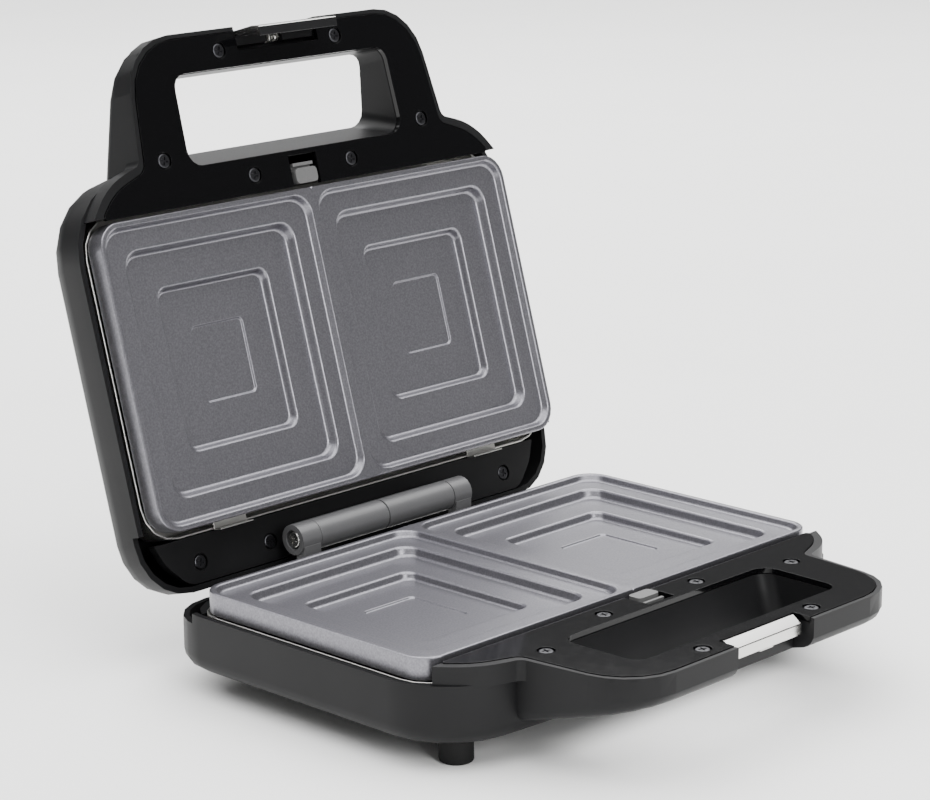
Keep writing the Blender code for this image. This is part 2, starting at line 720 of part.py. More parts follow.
def latch():
    """A sprung hook on the lid's handle, and the ramp that it snaps over on the base's."""
    z = -RIM_GAP
    outline = (
        (-0.1346, 0.0075 + z, 0.0010),
        (-0.1346, -0.0080 + z, 0.0020),
        (-0.1336, -0.0124 + z, 0.0004),
        (-0.1296, -0.0124 + z, 0.0004),
        (-0.1296, -0.0110 + z, 0.0004),
        (-0.1323, -0.0106 + z, 0.0004),
        (-0.1323, 0.0075 + z, 0.0004),
    )
    lever = profile_bar("latch_lever", outline, LATCH_HALF_WIDTH, "latch_metal")
    barrel = cylinder("latch_barrel", 0.0030, (-0.0200, LATCH_PIVOT_Y, LATCH_PIVOT_Z + z),
                      (0.0200, LATCH_PIVOT_Y, LATCH_PIVOT_Z + z), sides=14)
    carrier = block("latch_carrier", (-0.0218, -0.1326, 0.0042 + z), (0.0218, -0.1284, 0.0104 + z))
    window = block("latch_spring_window", (-0.0045, -0.1334, 0.002), (0.0045, -0.12, 0.03))
    bore = cylinder("latch_bore", LATCH_PIN_RADIUS + 0.0003, (-0.03, LATCH_PIVOT_Y, LATCH_PIVOT_Z + z),
                    (0.03, LATCH_PIVOT_Y, LATCH_PIVOT_Z + z), sides=12)
    cut(join(lever, barrel, carrier), window, bore)
    put_on_axis(lever, LID_FRAME, "latch_axis", (0, LATCH_PIVOT_Y, LATCH_PIVOT_Z + z))

    pin = cylinder("latch_pin", LATCH_PIN_RADIUS, (-0.0262, LATCH_PIVOT_Y, LATCH_PIVOT_Z + z),
                   (0.0262, LATCH_PIVOT_Y, LATCH_PIVOT_Z + z), "bright_steel", 10)
    put(pin, LID_FRAME)
    seat = cylinder("latch_pin_seat", LATCH_PIN_RADIUS + 0.0003,
                    (-0.0266, LATCH_PIVOT_Y, LATCH_PIVOT_Z + z),
                    (0.0266, LATCH_PIVOT_Y, LATCH_PIVOT_Z + z), sides=10)
    cut(bpy.data.objects["lid_shell"], seat)

    turns, steps, radius = 4, 9, 0.0021
    coil = [
        Vector((
            -0.0032 + 0.0064 * i / (turns * steps),
            LATCH_PIVOT_Y + radius * math.cos(math.tau * i / steps),
            LATCH_PIVOT_Z + z + radius * math.sin(math.tau * i / steps),
        ))
        for i in range(turns * steps + 1)
    ]
    put(tube("latch_spring", coil, 0.0004, "bright_steel", 0), LID_FRAME)

    ramp = (
        (-0.1268, 0.0016, 0.0004),
        (-0.1278, 0.0016, 0.0004),
        (-0.1318, 0.0044, 0.0008),
        (-0.1318, 0.0090, 0.0004),
        (-0.1292, 0.0090, 0.0004),
        (-0.1292, 0.0062, 0.0004),
        (-0.1268, 0.0062, 0.0004),
    )
    catch = profile_bar("latch_catch", ramp, 0.0213, "latch_metal")
    put(join(catch, block("latch_catch_nub", (-0.004, -0.1316, 0.008), (0.004, -0.1296, 0.0094))),
        BASE_FRAME)


# ---------------------------------------------------------------- inner and outer fittings


def base_fittings(shell):
    floor = BASE_DEPTH - WALL
    body = cylinder("thermostat", 0.0085, (0.03, 0.0, 0.0242), (0.03, 0.0, 0.0302), "ceramic", 16)
    stem = cylinder("thermostat_stem", 0.0022, (0.03, 0.0, 0.0178), (0.03, 0.0, 0.025), sides=10)
    put(join(body, stem), BASE_FRAME)
    well = cylinder("thermostat_well", 0.0026, (0.03, 0.0, 0.016), (0.03, 0.0, 0.03), sides=10)
    cut(bpy.data.objects["base_reflector_pan"], well)
    put(cylinder("thermal_fuse", 0.0022, (-0.03, 0.012, 0.0272), (-0.03, -0.012, 0.0272),
                 "bright_steel", 12), BASE_FRAME)
    put(block("terminal_block", (-0.078, 0.03, 0.0245), (-0.048, 0.044, 0.0305), "ceramic"),
        BASE_FRAME)
    gland = cylinder("cord_gland", 0.0062, (-0.085, BASE_REAR + GAP, 0.022),
                     (-0.085, BASE_REAR + 0.0055, 0.022), "foot_rubber", 16, 0.0050)
    sleeve = cylinder("cord_gland_sleeve", 0.0042, (-0.085, BASE_REAR - 0.006, 0.022),
                      (-0.085, BASE_REAR + 0.002, 0.022), sides=16)
    way = cylinder("cord_gland_way", 0.0031, (-0.085, BASE_REAR - 0.02, 0.022),
                   (-0.085, BASE_REAR + 0.02, 0.022), sides=14)
    put(cut(join(gland, sleeve), way), BASE_FRAME)
    cut(shell, cylinder("cord_gland_hole", 0.0046, (-0.085, BASE_REAR - 0.01, 0.022),
                        (-0.085, BASE_REAR + 0.01, 0.022), sides=16))
    for row, (x, y) in zip(("front", "rear"), FOOT_PLACES):
        for name, side in (("left", 1), ("right", -1)):
            foot = cylinder(f"foot_{row}_{name}", FOOT_RADIUS, (side * x, y, BASE_DEPTH + GAP),
                            (side * x, y, BASE_DEPTH + FOOT_HEIGHT), "foot_rubber", 18)
            plug = cylinder(f"foot_plug_{row}_{name}", 0.0028, (side * x, y, floor + 0.0004),
                            (side * x, y, BASE_DEPTH + 0.002), sides=12)
            put(join(foot, plug), BASE_FRAME)
            cut(shell, cylinder(f"foot_hole_{row}_{name}", 0.0031, (side * x, y, floor - 0.004),
                                (side * x, y, BASE_DEPTH + 0.004), sides=12))


def indicator_lenses(shell):
    for name, x in (("power", -0.009), ("ready", 0.009)):
        cut(shell, cylinder(f"{name}_lens_hole", 0.0031, (x, -0.06, LID_DEPTH - 0.01),
                            (x, -0.06, LID_DEPTH + 0.01), sides=14))
        lens = cylinder(f"{name}_indicator_lens", 0.0028, (x, -0.06, LID_DEPTH - 0.006),
                        (x, -0.06, LID_DEPTH), "lens", 14)
        put(lens, LID_FRAME)


def build():
    base_shell = housing("base", BASE_DEPTH, BASE_REAR, BASE_EDGE, 0.03)
    lid_shell = housing("lid", LID_DEPTH, LID_REAR, LID_EDGE, 0.011)
    for half in HALVES:
        cover(half)
        grill_plate(half)
        reflector_pan(half)
        heating_element(half)
        plate_clips(half)
        release_button(half)
    rear_strip("base", BASE_STRIP_SCREWS)
    rear_strip("lid", LID_STRIP_SCREWS)
    hinge()
    latch()
    base_fittings(base_shell)
    indicator_lenses(lid_shell)


build()
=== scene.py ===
# %% [markdown]
# # Finishing a two-pocket waffle maker
# The machine is already engineered: two moulded housings on a hinge, each holding a cast
# plate. This lesson loads that frame and gives it the surfaces that the eye reads:
# satin plastic, gloss panels, a coated casting and small bright hardware.

# %% Load the frame
import json
import math
import bmesh
import bpy
from mathutils import Matrix, Quaternion, Vector


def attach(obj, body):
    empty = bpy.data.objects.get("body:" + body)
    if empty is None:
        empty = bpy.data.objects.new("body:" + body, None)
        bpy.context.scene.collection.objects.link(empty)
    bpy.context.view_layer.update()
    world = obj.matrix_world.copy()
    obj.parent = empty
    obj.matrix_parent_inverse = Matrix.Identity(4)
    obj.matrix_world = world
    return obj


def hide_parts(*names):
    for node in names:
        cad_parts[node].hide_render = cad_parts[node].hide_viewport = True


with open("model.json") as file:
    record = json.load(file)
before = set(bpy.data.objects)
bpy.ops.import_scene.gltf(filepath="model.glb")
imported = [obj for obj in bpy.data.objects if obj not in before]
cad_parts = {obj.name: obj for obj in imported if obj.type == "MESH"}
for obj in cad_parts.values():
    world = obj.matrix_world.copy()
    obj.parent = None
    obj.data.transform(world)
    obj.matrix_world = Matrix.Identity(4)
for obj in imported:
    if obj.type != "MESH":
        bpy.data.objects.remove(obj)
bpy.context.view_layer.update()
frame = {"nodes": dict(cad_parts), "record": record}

# %% [markdown]
# Both halves are the same casing drawn in one "half frame": the origin is the middle of
# the plate's rim, Z runs outwards into the housing. The base is that frame turned upside
# down, and the lid is the same frame swung open on the hinge. Working in the half frame
# lets one set of numbers serve both halves.

# %% The two half frames
PLATE_Y, RIM_HEIGHT = -0.0089, 0.0445
HINGE_Y, HINGE_Z, RIM_GAP = 0.0802, 0.0017, 0.0012
LID_OPENING = math.radians(106)
HALF = {
    "base": Matrix.Translation((0, PLATE_Y, RIM_HEIGHT)) @ Matrix.Rotation(math.pi, 4, "Y"),
    "lid": Matrix.Translation((0, PLATE_Y + HINGE_Y, RIM_HEIGHT + HINGE_Z))
    @ Matrix.Rotation(-LID_OPENING, 4, "X")
    @ Matrix.Translation((0, -HINGE_Y, RIM_GAP - HINGE_Z)),
}
BODY_OF = {node: body for body, nodes in frame["record"]["behaviour"]["bodies"].items()
           for node in nodes}
SLOT_OF = {row["node"]: row["material_slot"] for row in frame["record"]["subparts"]}
print("lid plate centre at", [round(v, 4) for v in HALF["lid"].translation])

# %% [markdown]
# The camera comes first, because it decides how fine each surface has to be. It is a long
# lens from the left, a little above the handles, so that both plates face it.

# %% Camera
camera_data = bpy.data.cameras.new("studio_camera")
camera = bpy.data.objects.new("studio_camera", camera_data)
bpy.context.scene.collection.objects.link(camera)
turn, lift, tilt, distance = math.radians(-46.07), math.radians(14.43), math.radians(-0.4), 1.3506
away = Vector((math.sin(turn) * math.cos(lift), -math.cos(turn) * math.cos(lift), math.sin(lift)))
camera.location = Vector((0.09973, PLATE_Y + 0.12455, RIM_HEIGHT + 0.02608)) + away * distance
camera.rotation_mode = "QUATERNION"
camera.rotation_quaternion = (-away).to_track_quat("-Z", "Y") @ Quaternion((0, 0, 1), tilt)
camera_data.sensor_width = 36
camera_data.lens = 112.63
camera_data.clip_end = 20
bpy.context.scene.camera = camera
print("camera", [round(v, 3) for v in camera.location])

# %% [markdown]
# A pale floor and soft lights. A dark glossy object is seen mostly by what it reflects, so
# the lights are large and high: a wide one overhead does most of the work and also whitens the
# floor. The others only add to it: a faint tall one at the left, a soft one in front for the
# lid's plate, and a weak panel at the rear. Nothing bright stands at the right front, so the
# gloss panels stay dark.

# %% Floor and lights
bpy.ops.mesh.primitive_plane_add(size=12, location=(0, 0, 0))
floor = bpy.context.object
floor.name = "studio_floor"


def area_light(name, place, aim, power, wide, high):
    """A soft rectangular light that faces the aim point."""
    data = bpy.data.lights.new(name, "AREA")
    data.shape, data.size, data.size_y, data.energy = "RECTANGLE", wide, high, power
    light = bpy.data.objects.new(name, data)
    bpy.context.scene.collection.objects.link(light)
    light.location = place
    light.rotation_mode = "QUATERNION"
    light.rotation_quaternion = (Vector(aim) - Vector(place)).to_track_quat("-Z", "Y")


area_light("overhead_softbox", (0.2, 0.3, 3.0), (0, 0, 0), 600, 6.5, 6.5)
area_light("left_strip", (-1.7, 0.2, 0.8), (0, 0, 0.12), 3, 0.5, 1.3)
area_light("left_front_fill", (-0.5, -2.0, 0.9), (0, 0, 0.14), 34, 0.9, 0.9)
area_light("rear_panel", (1.1, 1.3, 1.15), (0, 0.0, 0.04), 12, 1.5, 0.7)
world = bpy.data.worlds.new("studio_world")
world.use_nodes = True
world.node_tree.nodes["Background"].inputs["Color"].default_value = (1, 1, 1, 1)
world.node_tree.nodes["Background"].inputs["Strength"].default_value = 0.2
bpy.context.scene.world = world

# %% [markdown]
# Colours are written as the hex values a paint chart gives, and turned to linear light
# once, here. A second helper adds one shader node with its settings and its links, so that
# each material below reads as a short recipe.

# %% Colour and node helpers
MM = 0.001


def linear(hex_colour, alpha=1.0):
    """An sRGB hex colour as the linear values a shader wants."""
    parts = [int(hex_colour[i:i + 2], 16) / 255 for i in (1, 3, 5)]
    return tuple(v / 12.92 if v <= 0.04045 else ((v + 0.055) / 1.055) ** 2.4 for v in parts) + (alpha,)


def add_node(tree, kind, links=None, **settings):
    """Adds one node, sets its named sockets or properties, and links its inputs."""
    node = tree.nodes.new(kind)
    for name, value in settings.items():
        if hasattr(node, name) and name not in node.inputs:
            setattr(node, name, value)
        else:
            node.inputs[name.replace("_", " ")].default_value = value
    for name, source in (links or {}).items():
        tree.links.new(source, node.inputs[name])
    return node


def new_material(name, colour, roughness, metallic=0.0, ior=1.5, **sockets):
    """A named material with one Principled shader, and its fixed values set on its sockets."""
    made = bpy.data.materials.new(name)
    made.use_nodes = True
    shader = made.node_tree.nodes["Principled BSDF"]
    shader.inputs["Base Color"].default_value = linear(colour)
    shader.inputs["Roughness"].default_value = roughness
    shader.inputs["Metallic"].default_value = metallic
    shader.inputs["IOR"].default_value = ior
    for socket, value in sockets.items():
        shader.inputs[socket.replace("_", " ")].default_value = value
    return made, made.node_tree, shader


def object_place(tree):
    return add_node(tree, "ShaderNodeTexCoord").outputs["Object"]


print("linear mid grey", [round(v, 3) for v in linear("#777777")])

# %% [markdown]
# The floor is matt white seamless paper: nothing but a very faint mottling.

# %% Seamless paper
paper, tree, shader = new_material("seamless_paper", "#F4F4F3", 0.85)
mottle = add_node(tree, "ShaderNodeTexNoise", {"Vector": object_place(tree)}, Scale=6.0, Detail=3.0)
shade = add_node(tree, "ShaderNodeValToRGB", {"Fac": mottle.outputs["Fac"]})
shade.color_ramp.elements[0].color = linear("#F1F1F0")
shade.color_ramp.elements[1].color = linear("#F7F7F6")
tree.links.new(shade.outputs["Color"], shader.inputs["Base Color"])
floor.data.materials.append(paper)
print("floor finish", paper.name)

# %% [markdown]
# The housings are injection-moulded ABS from a spark-eroded mould, which leaves a fine
# satin grain of about 0.3 mm. The grain breaks the highlights into a soft sheen. It is
# drawn a little coarser than life so that it still shows from a metre away.

# %% Satin moulded housing
housing_finish, tree, shader = new_material("satin_moulded_abs", "#131314", 0.4, ior=1.53,
                                            Specular_IOR_Level=0.15)
place = object_place(tree)
grain = add_node(tree, "ShaderNodeTexNoise", {"Vector": place}, Scale=1 / (0.45 * MM), Detail=4.0,
                 Roughness=0.6)
cloud = add_node(tree, "ShaderNodeTexNoise", {"Vector": place}, Scale=1 / (35 * MM), Detail=3.0)
tone = add_node(tree, "ShaderNodeValToRGB", {"Fac": cloud.outputs["Fac"]})
tone.color_ramp.elements[0].position, tone.color_ramp.elements[1].position = 0.3, 0.7
tone.color_ramp.elements[0].color = linear("#101011")
tone.color_ramp.elements[1].color = linear("#161617")
satin = add_node(tree, "ShaderNodeMapRange", {"Value": grain.outputs["Fac"]}, To_Min=0.36, To_Max=0.5)
relief = add_node(tree, "ShaderNodeBump", {"Height": grain.outputs["Fac"]}, Strength=0.25,
                  Distance=0.03 * MM)
tree.links.new(tone.outputs["Color"], shader.inputs["Base Color"])
tree.links.new(satin.outputs["Result"], shader.inputs["Roughness"])
tree.links.new(relief.outputs["Normal"], shader.inputs["Normal"])
print("housing finish", housing_finish.name)

# %% [markdown]
# The inner panels are the same ABS from a polished mould: nearly black, with sharp
# reflections. Real gloss panels are never quite flat, so a slow, shallow wave bends the
# reflections a little.

# %% Gloss panel
gloss_finish, tree, shader = new_material("gloss_black_abs", "#060607", 0.1, ior=1.4, Specular_IOR_Level=0.35)
place = object_place(tree)
wave = add_node(tree, "ShaderNodeTexNoise", {"Vector": place}, Scale=1 / (14 * MM), Detail=1.0)
dust = add_node(tree, "ShaderNodeTexNoise", {"Vector": place}, Scale=1 / (3 * MM), Detail=4.0)
smear = add_node(tree, "ShaderNodeMapRange", {"Value": dust.outputs["Fac"]}, From_Min=0.4,
                 From_Max=0.8, To_Min=0.08, To_Max=0.11)
relief = add_node(tree, "ShaderNodeBump", {"Height": wave.outputs["Fac"]}, Strength=0.15,
                  Distance=0.05 * MM)
tree.links.new(smear.outputs["Result"], shader.inputs["Roughness"])
tree.links.new(relief.outputs["Normal"], shader.inputs["Normal"])
print("panel finish", gloss_finish.name)

# %% [markdown]
# The plates are die-cast aluminium under a sprayed non-stick coating. The coating is a mid
# grey with metal flake in it, so it has a soft metallic sheen and a fine speckle of about
# 0.55 mm from the sprayed droplets.

# %% Non-stick coating
coating, tree, shader = new_material("nonstick_coated_casting", "#828187", 0.36, metallic=0.88)
place = object_place(tree)
droplets = add_node(tree, "ShaderNodeTexVoronoi", {"Vector": place}, Scale=1 / (0.55 * MM))
flake = add_node(tree, "ShaderNodeTexNoise", {"Vector": place}, Scale=1 / (0.8 * MM), Detail=3.0)
tint = add_node(tree, "ShaderNodeValToRGB", {"Fac": flake.outputs["Fac"]})
tint.color_ramp.elements[0].position, tint.color_ramp.elements[1].position = 0.35, 0.68
tint.color_ramp.elements[0].color = linear("#737278")
tint.color_ramp.elements[1].color = linear("#858489")
sheen = add_node(tree, "ShaderNodeMapRange", {"Value": droplets.outputs["Distance"]}, To_Min=0.3,
                 To_Max=0.38)
relief = add_node(tree, "ShaderNodeBump", {"Height": droplets.outputs["Distance"]}, Strength=0.2,
                  Distance=0.03 * MM)
tree.links.new(tint.outputs["Color"], shader.inputs["Base Color"])
tree.links.new(sheen.outputs["Result"], shader.inputs["Roughness"])
tree.links.new(relief.outputs["Normal"], shader.inputs["Normal"])
print("plate finish", coating.name)

# %% [markdown]
# Small hardware shares one recipe: rolled or brushed metal, whose fine parallel scratches
# stretch the highlights. The scratches are noise squeezed hard along one axis.

# %% Metals
def scratched_metal(name, colour, roughness, stretch, deep):
    """A metal with fine lines across the stretched axes."""
    made, tree, shader = new_material(name, colour, roughness, metallic=1.0)
    run = add_node(tree, "ShaderNodeMapping", {"Vector": object_place(tree)}, Scale=stretch)
    lines = add_node(tree, "ShaderNodeTexNoise", {"Vector": run.outputs["Vector"]},
                     Scale=1 / (0.6 * MM), Detail=3.0)
    rough = add_node(tree, "ShaderNodeMapRange", {"Value": lines.outputs["Fac"]},
                     To_Min=roughness * 0.75, To_Max=roughness * 1.4)
    relief = add_node(tree, "ShaderNodeBump", {"Height": lines.outputs["Fac"]}, Strength=deep,
                      Distance=0.02 * MM)
    tree.links.new(rough.outputs["Result"], shader.inputs["Roughness"])
    tree.links.new(relief.outputs["Normal"], shader.inputs["Normal"])
    return made


pan_finish = scratched_metal("rolled_aluminised_steel", "#C9C8C4", 0.28, (0.05, 1, 1), 0.3)
latch_finish = scratched_metal("brushed_stainless", "#D6D5D2", 0.22, (0.03, 1, 1), 0.3)
screw_finish = scratched_metal("black_oxide_steel", "#47474A", 0.3, (1, 1, 1), 0.2)
heater_finish = scratched_metal("heat_dulled_sheath", "#6E675F", 0.5, (1, 1, 1), 0.4)
print("metals", pan_finish.name, latch_finish.name, screw_finish.name, heater_finish.name)

# %% [markdown]
# The rest are small mouldings: nylon release buttons, rubber feet, steatite blocks and two
# tinted lenses. Each still has its own grain, because a flat colour looks like a toy.

# %% Small mouldings
def grained(name, low, high, roughness, grain_mm, deep, **sockets):
    """A moulding whose colour and surface vary with one fine grain."""
    made, tree, shader = new_material(name, low, roughness, **sockets)
    grain = add_node(tree, "ShaderNodeTexNoise", {"Vector": object_place(tree)},
                     Scale=1 / (grain_mm * MM), Detail=4.0)
    tone = add_node(tree, "ShaderNodeValToRGB", {"Fac": grain.outputs["Fac"]})
    tone.color_ramp.elements[0].color, tone.color_ramp.elements[1].color = linear(low), linear(high)
    relief = add_node(tree, "ShaderNodeBump", {"Height": grain.outputs["Fac"]}, Strength=deep,
                      Distance=0.05 * MM)
    tree.links.new(tone.outputs["Color"], shader.inputs["Base Color"])
    tree.links.new(relief.outputs["Normal"], shader.inputs["Normal"])
    return made


button_finish = grained("grey_nylon", "#4E4E4E", "#5A5A5A", 0.45, 0.8, 0.3)
rubber_finish = grained("moulded_rubber", "#0A0A0A", "#101010", 0.7, 0.6, 0.6,
                        Specular_IOR_Level=0.25)
ceramic_finish = grained("fired_steatite", "#D8D2C4", "#E6E1D6", 0.6, 0.7, 0.5)
lens_finish = grained("tinted_lens", "#8E1410", "#A81C15", 0.12, 2.0, 0.05,
                      Transmission_Weight=0.35)
FINISH = {
    "housing_plastic": housing_finish, "gloss_cover": gloss_finish, "grill_coating": coating,
    "bright_steel": pan_finish, "latch_metal": latch_finish, "button_plastic": button_finish,
    "foot_rubber": rubber_finish, "screw_steel": screw_finish, "heater_sheath": heater_finish,
    "ceramic": ceramic_finish, "lens": lens_finish,
}
for node, part in frame["nodes"].items():
    part.data.materials.clear()
    part.data.materials.append(FINISH[SLOT_OF[node]])
print("finishes on", len(frame["nodes"]), "nodes")

# %% [markdown]
# Modelling by hand goes through selection: nothing else may be selected when a primitive
# is added, and faces or edges are then picked by where they lie.

# %% Selection helpers
def start_fresh():
    if bpy.context.mode != "OBJECT":
        bpy.ops.object.mode_set(mode="OBJECT")
    bpy.ops.object.select_all(action="DESELECT")


def only(piece):
    start_fresh()
    piece.select_set(True)
    bpy.context.view_layer.objects.active = piece


def pick(kind, test):
    """Selects the vertices, edges or faces of the edited mesh that pass the test."""
    bpy.ops.mesh.select_mode(type={"verts": "VERT", "edges": "EDGE", "faces": "FACE"}[kind])
    bpy.ops.mesh.select_all(action="DESELECT")
    bm = bmesh.from_edit_mesh(bpy.context.object.data)
    for part in [part for part in getattr(bm, kind) if test(part)]:
        part.select_set(True)
    bm.select_flush_mode()
    bmesh.update_edit_mesh(bpy.context.object.data)


def true_normals(piece, angle):
    """Smooth shading across small radii, while the large faces stay optically flat."""
    bpy.ops.object.shade_smooth_by_angle(angle=math.radians(angle))
    weighted = piece.modifiers.new("flat_faces_win", "WEIGHTED_NORMAL")
    weighted.keep_sharp = True
    weighted.weight = 100
    bpy.ops.object.modifier_apply(modifier=weighted.name)


def settle(piece, name, half, finish, angle=30):
    """Places a piece drawn in the half frame, then smooths and names it."""
    only(piece)
    piece.matrix_world = HALF[half] @ piece.matrix_world
    bpy.ops.object.transform_apply(location=True, rotation=True, scale=True)
    true_normals(piece, angle)
    piece.name = piece.data.name = name
    piece.data.materials.clear()
    piece.data.materials.append(finish)
    return piece


print("helpers ready")

# %% [markdown]
# ## The cooking plates
# Each plate is one casting with two pockets that go down in steps, so that the filling has
# room and the bread is held by its crusts. A pocket starts as one rounded rectangle, and
# each wall and floor below it is that face extruded and scaled to the next size. This keeps
# every corner a clean fan, which a Boolean would not, and lets each edge get its own
# radius afterwards.

# %% Rings of one half plate
POCKET_X, POCKET_CORNER = 58.95, 8.8  # place of the pocket's middle, and its corner radius, in mm
POCKET_RINGS = (  # half width, half length, depth, edge rounding, in mm
    (56.65, 61.6, 0.01, 0.7),
    (55.45, 60.4, 2.80, 1.0),
    (46.15, 51.1, 2.81, 1.1),
    (44.75, 49.7, 6.80, 1.3),
    (30.15, 34.1, 6.81, 1.1),
    (29.05, 33.0, 10.00, 1.1),
    (14.15, 16.1, 10.01, 0.35),
    (13.75, 15.7, 10.80, 0.35),
)


def at_depth(depth):
    return lambda part: all(abs(v.co.z - depth * MM) < 0.002 * MM
                            for v in (part.verts if hasattr(part, "verts") else (part,)))


def on_centre_line(part):
    return all(abs(v.co.x) < 0.01 * MM for v in part.verts)


def lay_ring(centre_x, half_x, half_y, depth, radius, rounded_from=-1.0, segments=6):
    """Adds a rounded rectangle to the edited mesh, its corners beyond rounded_from rounded."""
    bpy.ops.mesh.select_all(action="DESELECT")
    bpy.ops.mesh.primitive_plane_add(size=1, location=(centre_x * MM, 0, depth * MM))
    bpy.ops.transform.resize(value=(2 * half_x * MM, 2 * half_y * MM, 1),
                             center_override=(centre_x * MM, 0, depth * MM))
    near = at_depth(depth)
    pick("verts", lambda v: near(v) and v.co.x > rounded_from)
    bpy.ops.mesh.bevel(offset=radius * MM, segments=segments, affect="VERTICES",
                       clamp_overlap=False)


print("pocket of", len(POCKET_RINGS), "rings")

# %% [markdown]
# The outer form is made the same way: the rim, the foot of the skirt, and the bowl under
# the pockets. Only the right half is drawn. It is left open on the centre line and
# mirrored, which is how the pattern maker would have cut it too.

# %% Cast one plate
OUTER_RINGS = (  # half width, half length, depth, corner radius, in mm
    (59.0, 64.0, 0.0, 11.0),
    (59.0, 64.0, 9.2, 11.0),
    (56.75, 59.5, 9.21, 6.5),
    (56.75, 59.5, 14.5, 6.5),
)
OUTER_EDGES = ((0.0, 0.7), (9.2, 0.5))  # depth, edge rounding, in mm
WELD = 0.005 * MM


def cast_plate(half):
    start_fresh()
    bpy.ops.mesh.primitive_plane_add(size=1, location=(0, 0, 0))
    plate = bpy.context.object
    bpy.ops.object.mode_set(mode="EDIT")
    bpy.ops.mesh.delete(type="VERT")
    lay_ring(POCKET_X, *POCKET_RINGS[0][:3], POCKET_CORNER)
    for above, below in zip(POCKET_RINGS, POCKET_RINGS[1:]):
        level = at_depth(above[2])
        pick("faces", lambda face: len(face.verts) > 4 and level(face))
        drop = (below[2] - above[2]) * MM
        bpy.ops.mesh.extrude_region_move(TRANSFORM_OT_translate={"value": (0, 0, drop)})
        bpy.ops.transform.resize(value=(below[0] / above[0], below[1] / above[1], 1),
                                 center_override=(POCKET_X * MM, 0, below[2] * MM))
    for half_x, half_y, depth, radius in OUTER_RINGS:
        lay_ring(half_x, half_x, half_y, depth, radius, rounded_from=half_x * MM)
    levels = [ring[2] for ring in reversed(OUTER_RINGS)] + [POCKET_RINGS[0][2]]
    for first, second in zip(levels, levels[1:]):
        a, b = at_depth(first), at_depth(second)
        pick("faces", lambda face: len(face.verts) > 4 and (
            (a(face) and first != levels[0]) or b(face)))
        bpy.ops.mesh.delete(type="ONLY_FACE")
        pick("edges", lambda edge: a(edge) or b(edge))
        bpy.ops.mesh.bridge_edge_loops()
    pick("faces", on_centre_line)
    bpy.ops.mesh.delete(type="FACE")
    bpy.ops.mesh.select_all(action="SELECT")
    bpy.ops.mesh.normals_make_consistent(inside=False)
    for _, _, depth, rounding in POCKET_RINGS:
        pick("edges", at_depth(depth))
        bpy.ops.mesh.bevel(offset=rounding * MM, segments=4, affect="EDGES", clamp_overlap=False)
    for depth, rounding in OUTER_EDGES:
        near = at_depth(depth)
        pick("edges", lambda edge: near(edge) and not on_centre_line(edge))
        bpy.ops.mesh.bevel(offset=rounding * MM, segments=3, affect="EDGES", clamp_overlap=False)
    bpy.ops.object.mode_set(mode="OBJECT")
    mirror = plate.modifiers.new("other_half", "MIRROR")
    mirror.merge_threshold = 4 * WELD
    mirror.use_clip = True
    bpy.ops.object.modifier_apply(modifier=mirror.name)
    bpy.ops.object.mode_set(mode="EDIT")
    bpy.ops.mesh.select_all(action="SELECT")
    bpy.ops.mesh.remove_doubles(threshold=WELD)
    bpy.ops.mesh.normals_make_consistent(inside=False)
    bpy.ops.object.mode_set(mode="OBJECT")
    return settle(plate, f"{half}_cast_plate", half, coating, 28)


for half in ("base", "lid"):
    plate = cast_plate(half)
    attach(plate, f"{half}_plate")
    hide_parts(f"{half}_grill_plate")
    print(plate.name, len(plate.data.polygons), "faces")

# %% [markdown]
# ## Housings, panels and strips
# These mouldings already have the right form. What they lack is the small radius that every
# moulded edge has, and it is that radius which draws the bright line along an edge. Each is
# copied, its loose triangles are merged into clean faces, and the sharp edges are bevelled.

# %% Break the edges of a moulding
def break_edges(node, width, segments=3, limit=40, smooth=35):
    """A finished copy of a node, its sharp edges rounded to the given width in mm."""
    start_fresh()
    source = frame["nodes"][node]
    piece = source.copy()
    piece.data = source.data.copy()
    bpy.context.scene.collection.objects.link(piece)
    only(piece)
    bpy.ops.object.mode_set(mode="EDIT")
    bpy.ops.mesh.select_all(action="SELECT")
    bpy.ops.mesh.remove_doubles(threshold=0.00001)
    bpy.ops.mesh.dissolve_limited(angle_limit=math.radians(1.5))
    bpy.ops.object.mode_set(mode="OBJECT")
    bevel = piece.modifiers.new("broken_edge", "BEVEL")
    bevel.width, bevel.segments = width * MM, segments
    bevel.limit_method, bevel.angle_limit = "ANGLE", math.radians(limit)
    bevel.use_clamp_overlap = True
    bpy.ops.object.modifier_apply(modifier=bevel.name)
    true_normals(piece, smooth)
    piece.name = piece.data.name = node + "_finished"
    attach(piece, BODY_OF[node])
    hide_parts(node)
    return piece


MOULDINGS = {
    "base_shell": 0.5, "lid_shell": 0.5, "base_front_cover": 0.35, "lid_front_cover": 0.35,
    "base_rear_strip": 0.5, "lid_rear_strip": 0.5, "lid_hinge_bracket": 0.25,
    "base_hinge_knuckle_left": 0.4, "base_hinge_knuckle_right": 0.4,
    "base_plate_release": 0.4, "lid_plate_release": 0.4,
    "foot_front_left": 1.1, "foot_front_right": 1.1, "foot_rear_left": 1.1,
    "foot_rear_right": 1.1, "latch_lever": 0.18, "latch_catch": 0.2,
    "base_reflector_pan": 0.25, "lid_reflector_pan": 0.25, "cord_gland": 0.5,
    "base_plate_clip_left": 0.1, "base_plate_clip_right": 0.1,
    "lid_plate_clip_left": 0.1, "lid_plate_clip_right": 0.1,
}
for node, width in MOULDINGS.items():
    piece = break_edges(node, width)
    print(piece.name, len(piece.data.polygons), "faces")

# %% [markdown]
# Only the face of the latch is stainless: the sleeve that turns on the pin is the same dark
# ABS as the housing. The faces behind the strip are picked by their place in the lid's
# own frame.

